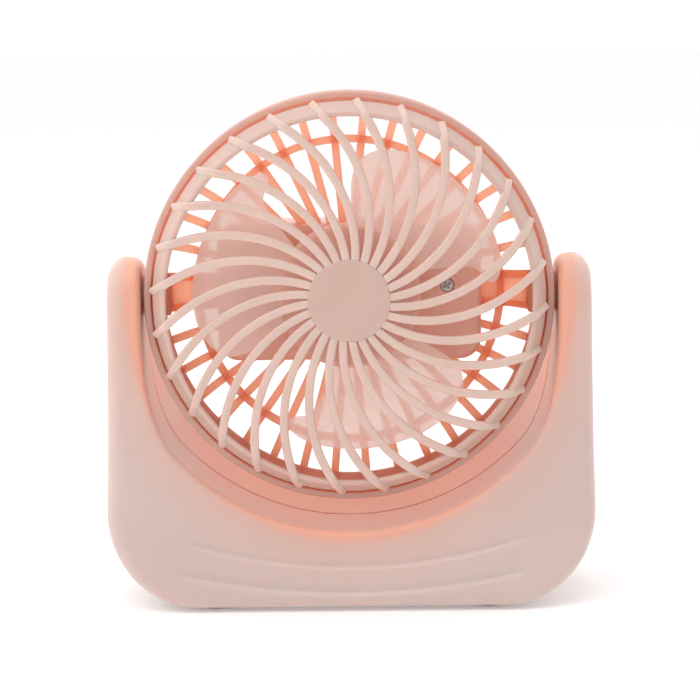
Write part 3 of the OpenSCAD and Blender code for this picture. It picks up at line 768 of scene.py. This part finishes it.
ringOfBars = ringOfBarsTree()
barsToBox = barsToBoxTree()
copiesAtPoints = copiesTree()
print("node trees ready")


# front grille

grille = {
    "capRadius": 11.6, "faceRadius": 51.3, "thickness": 2.4,
    "ribCount": 28, "ribFirst": 4.1, "ribSweep": 32.0,
    "ribInner": 1.2, "ribOuter": 2.4, "ribPower": 1.15, "skirt": 1.6, "skirtDrop": 4.0,
    "bezelStep": 1.0,
}
bezelFoot = rimFront + grille["bezelStep"]
faceInside = grilleFront - grille["thickness"]

bezelProfile = softened([
    (grille["faceRadius"], grilleFront - 0.9, 0.9), (grille["faceRadius"] + 1.3, grilleFront - 1.1, 1.2),
    (bezelRadius, bezelFoot + 0.2, 0.8), (bezelRadius, rimFront - grille["skirtDrop"], 0.3),
    (bezelRadius - grille["skirt"], rimFront - grille["skirtDrop"], 0.3),
    (bezelRadius - grille["skirt"], bezelFoot, 0.8), (grille["faceRadius"], faceInside, 0.5)], steps=4)
bezel = lathe("grille_bezel", bezelProfile, 168)
finishPiece(bezel, grilleShadedPink, "head", headPlace, ["front_grille"])

capProfile = softened([(0, grilleFront), (grille["capRadius"], grilleFront, 0.55),
                       (grille["capRadius"], faceInside, 0.4), (0, faceInside)], closed=False, steps=5)
cap = lathe("grille_cap", capProfile, 96, closed=False)
finishPiece(cap, grilleShadedPink, "head", headPlace)


# middle line of one rib: swirls out over the face, then drops over the bezel to the groove
def ribPath(steps=30):
    inner, outer = grille["capRadius"] - 1.0, bezelRadius - 0.25
    shoulder = grille["faceRadius"] + 0.6
    half = grille["thickness"] / 2
    points = []
    for i in range(steps + 1):
        r = inner + (outer - inner) * i / steps
        share = max(0, (r - grille["capRadius"]) / (bezelRadius - grille["capRadius"]))
        a = math.radians(grille["ribSweep"] * share ** grille["ribPower"])
        drop = max(0, (r - shoulder) / (outer - shoulder))
        height = grilleFront - half - 0.12 - (grilleFront - bezelFoot - 1.6) * drop ** 1.25
        points.append((r * math.cos(a), r * math.sin(a), height))
    return points


ribLine = ribPath()
ribs = grown("grille_ribs", ringOfBars, ribLine, chain(ribLine), {
    "Count": grille["ribCount"], "First Angle": math.radians(grille["ribFirst"]),
    "Width": grille["ribOuter"], "Thickness": grille["thickness"] - 0.3, "Edge Radius": 0.62,
    "Inner Share": grille["ribInner"] / grille["ribOuter"], "Material": grillePink})
finishPiece(ribs, grillePink, "head", headPlace)
print("front grille:", len(ribs.data.polygons), "rib faces")


# rear shell

rear = {
    "wall": 2.0, "drumBack": 4.0, "turnIn": 3.1, "ringRadius": 43.7, "ringWidth": 2.1, "slatCount": 36,
    "slatFirst": 4.9, "slatWidth": 2.2, "slatThickness": 2.5, "slatBack": 6.5, "webHeight": 10.4,
    "boxWidth": 75.5, "boxHeight": 39.0, "boxCorner": 6.0, "boxWall": 1.8, "boxBackEdge": 2.2,
    "bossRadius": 6.0, "bossInner": 7.0,
}
slatMiddle = -rear["slatBack"] - rear["slatThickness"] / 2
inRadius = rimRadius - rear["wall"]
lipRadius = rimRadius - rear["turnIn"]

drumProfile = softened([
    (rimRadius, rimFront, 0.75), (rimRadius, rear["turnIn"] - rear["drumBack"], 2.2),
    (lipRadius, -rear["drumBack"], 1.2), (lipRadius - rear["wall"], -rear["drumBack"], 0.5),
    (lipRadius - rear["wall"], rear["wall"] - rear["drumBack"], 0.3),
    (lipRadius, rear["wall"] - rear["drumBack"], 1.0),
    (inRadius, rear["turnIn"] - rear["drumBack"], 1.0), (inRadius, rimFront, 0.35)], steps=5)
drum = lathe("drum", drumProfile, 180)
finishPiece(drum, drumPink, "head", headPlace, ["rear_shell"])

ringHalf = rear["ringWidth"] / 2
ringProfile = softened([
    (rear["ringRadius"] + ringHalf, -rear["slatBack"] + 0.3, 0.5),
    (rear["ringRadius"] + ringHalf, slatMiddle - rear["slatThickness"] / 2 - 0.3, 0.5),
    (rear["ringRadius"] - ringHalf, slatMiddle - rear["slatThickness"] / 2 - 0.3, 0.5),
    (rear["ringRadius"] - ringHalf, -rear["slatBack"] + 0.3, 0.5)], steps=3)
ring = lathe("rear_ring", ringProfile, 144)
finishPiece(ring, rearGlowPaintedPink, "head", headPlace)


# middle line of a slat outside the ring: level at first, then bending forwards to the drum
def slatPath():
    line = softened([(rear["ringRadius"], slatMiddle), (rear["ringRadius"] + 3.2, slatMiddle, 5.0),
                     (lipRadius - 0.9, -rear["drumBack"] + 1.0)], closed=False, steps=6)
    return [(p.x, 0, p.y) for p in line]


slatLine = slatPath()
barSizes = {"Width": rear["slatWidth"], "Thickness": rear["slatThickness"], "Edge Radius": 0.5,
            "Count": rear["slatCount"], "First Angle": math.radians(rear["slatFirst"]),
            "Material": rearGlowPaintedPink}
slats = grown("rear_slats_outer", ringOfBars, slatLine, chain(slatLine), {**barSizes, "Inner Share": 1.0})
finishPiece(slats, rearGlowPaintedPink, "head", headPlace)
unitLine = [(0, 0, slatMiddle), (1, 0, slatMiddle)]
bars = grown("rear_slats_inner", barsToBox, unitLine, chain(unitLine), {
    **barSizes, "Outer Radius": rear["ringRadius"], "Half Width": (rear["boxWidth"] - rear["boxWall"]) / 2,
    "Half Height": (rear["boxHeight"] - rear["boxWall"]) / 2})
finishPiece(bars, rearGlowPaintedPink, "head", headPlace)

webLine = [((rear["boxWidth"] - rear["boxWall"]) / 2, 0, slatMiddle)] + slatLine
webs = grown("pivot_webs", ringOfBars, webLine, chain(webLine), {
    **barSizes, "Count": 2, "First Angle": 0.0, "Width": rear["webHeight"], "Inner Share": 1.0})
finishPiece(webs, rearGlowPaintedPink, "head", headPlace)

bossOuter = earIn - 0.35
bossProfile = softened([
    (4.03, rimRadius - 5), (4.03, bossOuter, 0.3), (rear["bossRadius"], bossOuter, 0.5),
    (rear["bossRadius"], rimRadius - rear["bossInner"], 0.8), (1.25, rimRadius - rear["bossInner"]),
    (1.25, rimRadius - 5)], steps=3)
for side, sign in (("right", 1), ("left", -1)):
    boss = lathe("pivot_boss_" + side, bossProfile, 48)
    boss.data.transform(Matrix.Rotation(sign * math.pi / 2, 4, "Y"))
    finishPiece(boss, rearGlowPaintedPink, "head", headPlace)


# the open tray that holds the cell and the board: outside, then over the lip and down inside
def trayLoops():
    width, height, corner, wall = rear["boxWidth"], rear["boxHeight"], rear["boxCorner"], rear["boxWall"]
    edge = rear["boxBackEdge"]
    front = -wall
    outside = []
    for k in range(7):
        a = math.pi / 2 * k / 6
        outside.append((edge * (1 - math.sin(a)), -boxBack + edge * (1 - math.cos(a))))
    outside += [(0, front - 0.25), (0.25, front)]
    inside = [(wall, front), (wall, -boxBack + wall + 0.8), (wall + 0.8, -boxBack + wall)]
    loops = []
    for inset, depth in outside + inside:
        loop = softRectangle(width - 2 * inset, height - 2 * inset, max(corner - inset, 0.8))
        loops.append([(p.x, p.y, depth) for p in loop])
    return loops


boardY = (mmBox("circuit_board")[0][2] + mmBox("circuit_board")[1][2]) / 2 - pivotZ
usbX = (mmBox("usb_socket")[0][0] + mmBox("usb_socket")[1][0]) / 2
ledX = (mmBox("indicator_led")[0][0] + mmBox("indicator_led")[1][0]) / 2


# what a hole in the tray's back takes away
def holePlug(loop, x):
    return skinLoops("plug", [[(p.x + x, p.y + boardY, z) for p in loop]
                              for z in (-boxBack - 3, -boxBack + 4)])


def circle(radius, count=48):
    return [Vector((radius * math.cos(2 * math.pi * i / count), radius * math.sin(2 * math.pi * i / count)))
            for i in range(count)]


tray = skinLoops("battery_tray", trayLoops())
cutWith(tray, [holePlug(circle(4.15), 0), holePlug(circle(1.6), ledX),
               holePlug(softRectangle(9.4, 3.7, 1.8), usbX)])
finishPiece(tray, boxGlowPaintedPink, "head", headPlace, sharp=35)
print("rear shell done")


# motor cover

cover = {"edge": 1.5, "screwX": 28.0, "screwY": 2.0, "bossRadius": 3.3, "bossHigh": 0.6,
         "pocketRadius": 13.7}


def coverLoops():
    width, height, corner = rear["boxWidth"], rear["boxHeight"], rear["boxCorner"]
    rows = [(0.0, -rear["boxWall"])]
    for k in range(7):
        a = math.pi / 2 * k / 6
        rows.append((cover["edge"] * (1 - math.cos(a)), cover["edge"] * math.sin(a) - cover["edge"]))
    loops = []
    for inset, depth in rows:
        loop = softRectangle(width - 2 * inset, height - 2 * inset, corner - inset)
        loops.append([(p.x, p.y, depth) for p in loop])
    return loops


plate = skinLoops("cover_plate", coverLoops())
cutWith(plate, [skinLoops("plug", [[(p.x, p.y, z) for p in circle(12.22, 72)] for z in (-9, 3)])])
finishPiece(plate, boxGlowPaintedPink, "head", headPlace, ["motor_cover"], sharp=35)
pocketProfile = softened([(12.24, -6.4), (12.24, 4.0, 0.3), (cover["pocketRadius"], 4.0, 0.5),
                          (cover["pocketRadius"], -6.4)], steps=3)
pocket = lathe("motor_pocket", pocketProfile, 72)
finishPiece(pocket, boxGlowPaintedPink, "head", headPlace)
bossRing = softened([(2.3, -0.6), (2.3, cover["bossHigh"], 0.2),
                     (cover["bossRadius"], cover["bossHigh"], 0.3), (cover["bossRadius"], -0.6)], steps=3)
for side, sign in (("right", 1), ("left", -1)):
    boss = lathe("screw_boss_" + side, bossRing, 48)
    boss.data.transform(Matrix.Translation((sign * cover["screwX"], cover["screwY"], 0)))
    finishPiece(boss, boxGlowPaintedPink, "head", headPlace)


# pan head with a cross recess and a plain shank, its seat at height 0
def screwPiece(headRadius, headHigh, shankRadius, length):
    profile = softened([(0, headHigh), (headRadius, headHigh, headHigh * 0.8), (headRadius, 0, 0.05),
                        (shankRadius, 0), (shankRadius, -length, 0.3), (0, -length)], closed=False, steps=6)
    screw = lathe("screw", profile, 40, closed=False)
    cutters = []
    for turn in (0, math.pi / 2):
        wide = headRadius * 0.62
        thin = headRadius * 0.13
        loops = [[(x * k, y, z) for x, y in ((wide, -thin), (wide, thin), (-wide, thin), (-wide, -thin))]
                 for k, z in ((1.25, headHigh + 0.5), (0.45, headHigh * 0.25))]
        cutter = skinLoops("cross", loops)
        cutter.data.transform(Matrix.Rotation(turn + 0.6, 4, "Z"))
        cutters.append(cutter)
    return cutWith(screw, cutters)


spots = [(s * cover["screwX"], cover["screwY"], -0.6) for s in (1, -1)]
setAt("cover_screws_seen", screwPiece(2.0, 1.1, 1.0, 4.6), spots, (0.0, 0.0, 0.0), zincPlate, "head",
      headPlace, "cover_screws", 30)

spots = [(s * x, seamY + 2, z) for s in (1, -1) for x, z in screwSpots]
setAt("stand_screws_seen", screwPiece(2.5, 1.3, 1.2, 9.0), spots, (-math.pi / 2, 0.0, 0.0), zincPlate,
      "stand", standPlace, "stand_screws", 30)

footProfile = softened([(0, 0.25), (2.6, 0.25, 0.3), (3.2, 0, 0.3), (5.0, 0, 0.45), (5.0, 2.0), (0, 2.0)],
                       closed=False, steps=4)
footPad = lathe("pad", footProfile, 48, closed=False)
spots = [(sx * footSpot[0], sy * footSpot[1], 0) for sx in (1, -1) for sy in (1, -1)]
setAt("rubber_pads", footPad, spots, (0.0, 0.0, 0.0), siliconeRubber, "stand", standPlace,
      "rubber_feet")
print("screws and pads done")


# impeller

wheel = {
    "hubRadius": 20.5, "hubFront": 9.0, "hubBack": 1.0, "hubWall": 1.6, "tip": 44.5, "blades": 3,
    "low": 1.9, "high": 10.6, "thick": 1.3, "noseRadius": 3.5,
    # radius, angle of the hooked edge, angle of the broad edge
    "outline": [(19.6, 18.5, 88.0), (26.0, 16.0, 88.5), (33.0, 13.4, 88.5), (36.0, 12.0, 87.5),
                (37.6, 9.5, 86.5), (38.6, 6.2, 85.5), (39.4, 4.5, 84.5), (40.6, 3.7, 82.5),
                (41.8, 4.0, 79.5), (42.8, 5.4, 76.0), (43.6, 8.0, 71.5), (44.2, 12.0, 66.0),
                (44.5, 18.0, 58.0)],
}

hubProfile = softened([
    (0, wheel["hubFront"]), (wheel["hubRadius"], wheel["hubFront"], 1.5),
    (wheel["hubRadius"], wheel["hubBack"], 0.4),
    (wheel["hubRadius"] - wheel["hubWall"], wheel["hubBack"], 0.4),
    (wheel["hubRadius"] - wheel["hubWall"], wheel["hubFront"] - 1.8, 1.0), (0, wheel["hubFront"] - 1.8)],
    closed=False, steps=6)
hub = lathe("impeller_hub", hubProfile, 120, closed=False)
finishPiece(hub, frostedHub, "impeller", headPlace, ["impeller"])
noseProfile = softened([
    (0, hubTop), (wheel["noseRadius"], hubTop, 1.2), (wheel["noseRadius"], wheel["hubFront"] - 0.3),
    (0, wheel["hubFront"] - 0.3)], closed=False, steps=5)
nose = lathe("impeller_nose", noseProfile, 48, closed=False)
finishPiece(nose, frostedHub, "impeller", headPlace)


# one thin twisted blade as a grid between its two edges, then given its thickness
def bladePiece(number, across=44):
    table = np.array(wheel["outline"])
    inner = np.linspace(table[0, 0], 36, 14)
    outer = 36 + (wheel["tip"] - 36) * np.sin(np.linspace(0, math.pi / 2, 22)[1:])
    radii = np.concatenate([inner, outer])
    start = np.interp(radii, table[:, 0], table[:, 1])
    end = np.interp(radii, table[:, 0], table[:, 2])
    vertices, faces = [], []
    for r, a, b in zip(radii, start, end):
        for k in range(across + 1):
            degrees = a + (b - a) * k / across
            turn = math.radians(degrees + 360 / wheel["blades"] * number)
            share = (degrees - 3) / 86
            height = wheel["low"] + (wheel["high"] - wheel["low"]) * share
            vertices.append((r * math.cos(turn), r * math.sin(turn), height))
    for i in range(len(radii) - 1):
        for k in range(across):
            a = i * (across + 1) + k
            faces.append((a, a + 1, a + across + 2, a + across + 1))
    blade = objectFrom("blade_%d" % (number + 1), vertices, faces)
    smooth = blade.modifiers.new("even", "SMOOTH")
    smooth.factor = 0.5
    smooth.iterations = 2
    thick = blade.modifiers.new("thickness", "SOLIDIFY")
    thick.thickness = wheel["thick"]
    thick.offset = 0
    edge = blade.modifiers.new("edge", "BEVEL")
    edge.width = 0.4
    edge.segments = 3
    edge.limit_method = "ANGLE"
    edge.angle_limit = math.radians(50)
    applied(blade)
    return blade


for number in range(wheel["blades"]):
    blade = tidyMesh(bladePiece(number))
    finishPiece(blade, frosted, "impeller", headPlace, sharp=60)
print("impeller done")


# button

button = {"radius": 3.8, "proud": 1.0, "flange": 5.0, "flangeFrom": 24.85, "flangeTo": 24.05, "dish": 0.35}
buttonTop = -boxBack - button["proud"]
buttonProfile = softened([
    (0, buttonTop + button["dish"]), (2.4, buttonTop + button["dish"], 1.0),
    (3.0, buttonTop, 0.4), (button["radius"], buttonTop, 0.5),
    (button["radius"], -button["flangeFrom"], 0.1), (button["flange"], -button["flangeFrom"], 0.1),
    (button["flange"], -button["flangeTo"], 0.1), (0, -button["flangeTo"])], closed=False, steps=4)
cap = lathe("button_cap", buttonProfile, 64, closed=False)
cap.data.transform(Matrix.Translation((0, boardY, 0)))
finishPiece(cap, buttonPp, "power_button", headPlace, ["power_button"])


# finishes of the CAD nodes that stay as they are

nodeFinish = {
    "motor_can": drawnSteel, "motor_end_cap": nylon, "motor_magnets": ferrite, "front_bush": sinteredBronze,
    "rear_bush": sinteredBronze, "battery_cell": shrinkSleeve, "battery_tabs": drawnSteel,
    "battery_leads": redInsulation, "circuit_board": solderMask, "switch_body": blackNylon,
    "indicator_led": castResin, "usb_socket": drawnSteel, "socket_tongue": blackNylon,
    "motor_leads": blackInsulation, "pivot_pins": nylon, "pivot_screws": zincPlate,
    "motor_shaft": groundSteel, "motor_rotor": enamelledCopper, "switch_plunger": nylon,
}
for name, material in nodeFinish.items():
    node = frame["nodes"][name]
    node.data.materials.clear()
    node.data.materials.append(material)
print("finishes given to", len(nodeFinish), "inner nodes")


# floor, light and camera

studio = {
    "floorHalf": 6.0, "floorHex": "#EDECEC", "floorLift": 0.2, "skyHex": "#FFFFFF", "skyBehind": 1.3,
    "skyInFront": 0.42,
    # name, place, target height, size and power of each soft light
    "lights": [("key", (-0.75, -0.65, 0.75), 0.07, 0.9, 3.4), ("fill", (0.75, -0.55, 0.55), 0.07, 0.9, 0.3),
               ("top", (-0.15, -0.35, 1.15), 0.09, 0.9, 4.5)],
}
half = studio["floorHalf"]
floor = objectFrom("floor", [(-half, -half, 0), (half, -half, 0), (half, half, 0), (-half, half, 0)],
                   [(0, 1, 2, 3)])
floorPaint, tree, out = startMaterial("matt white table")
drift = driftingColour(tree, objectPoint(tree), "#EFEEEE", studio["floorHex"], 0.002)
matt = addNode(tree, "ShaderNodeBsdfPrincipled", {"Base Color": drift, "Roughness": 0.9,
                                                  "Emission Color": linear("#FFFFFF"),
                                                  "Emission Strength": studio["floorLift"]})
tree.links.new(matt.outputs[0], out.inputs["Surface"])
floor.data.materials.append(floorPaint)

world = bpy.data.worlds.new("soft white room")
world.use_nodes = True
tree = world.node_tree
tree.nodes.clear()
# brightest behind the fan, a little dimmer on the near side, so that round edges catch a pale line
sightLine = addNode(tree, "ShaderNodeTexCoord").outputs["Generated"]
heading = addNode(tree, "ShaderNodeSeparateXYZ", {0: sightLine})
level = addNode(tree, "ShaderNodeMapRange",
                {"Value": heading.outputs["Y"], "From Min": -0.35, "From Max": 0.25,
                 "To Min": studio["skyInFront"], "To Max": studio["skyBehind"]})
sky = addNode(tree, "ShaderNodeBackground", {"Color": linear(studio["skyHex"]),
                                             "Strength": level.outputs[0]})
addNode(tree, "ShaderNodeOutputWorld", {"Surface": sky.outputs[0]})
bpy.context.scene.world = world
bpy.context.scene.view_settings.view_transform = "Standard"

for name, place, aimHeight, size, power in studio["lights"]:
    lamp = bpy.data.lights.new(name, "AREA")
    lamp.shape = "SQUARE"
    lamp.size = size
    lamp.energy = power
    holder = bpy.data.objects.new(name, lamp)
    holder.location = place
    aim = Vector((0, 0, aimHeight)) - Vector(place)
    holder.rotation_euler = aim.to_track_quat("-Z", "Y").to_euler()
    bpy.context.scene.collection.objects.link(holder)

view = {"distance": 0.70, "downDegrees": 7.05, "turnDegrees": 0.2, "rollDegrees": -0.62,
        "frameWide": 0.2006, "pivotAside": -0.0002, "pivotAbove": 0.0164, "sensor": 36.0}
pivot = Vector((0, 0, pivotZ * mm))
down, turn = math.radians(view["downDegrees"]), math.radians(view["turnDegrees"])
away = Vector((math.sin(turn) * math.cos(down), -math.cos(turn) * math.cos(down), math.sin(down)))
cameraData = bpy.data.cameras.new("camera")
cameraData.sensor_width = view["sensor"]
cameraData.lens = view["sensor"] * view["distance"] / view["frameWide"]
cameraData.clip_start = 0.02
cameraData.clip_end = 20
camera = bpy.data.objects.new("camera", cameraData)
bpy.context.scene.collection.objects.link(camera)
camera.location = pivot + away * view["distance"]
sight = (-away).to_track_quat("-Z", "Y")
lower = math.atan(view["pivotAbove"] / view["distance"])
aside = math.atan(view["pivotAside"] / view["distance"])
camera.rotation_mode = "QUATERNION"
camera.rotation_quaternion = sight
for angle, axis in ((math.radians(view["rollDegrees"]), "Z"), (-lower, "X"), (aside, "Y")):
    camera.rotation_quaternion = camera.rotation_quaternion @ Matrix.Rotation(angle, 3, axis).to_quaternion()
bpy.context.scene.camera = camera
print("studio ready")

bpy.context.view_layer.update()
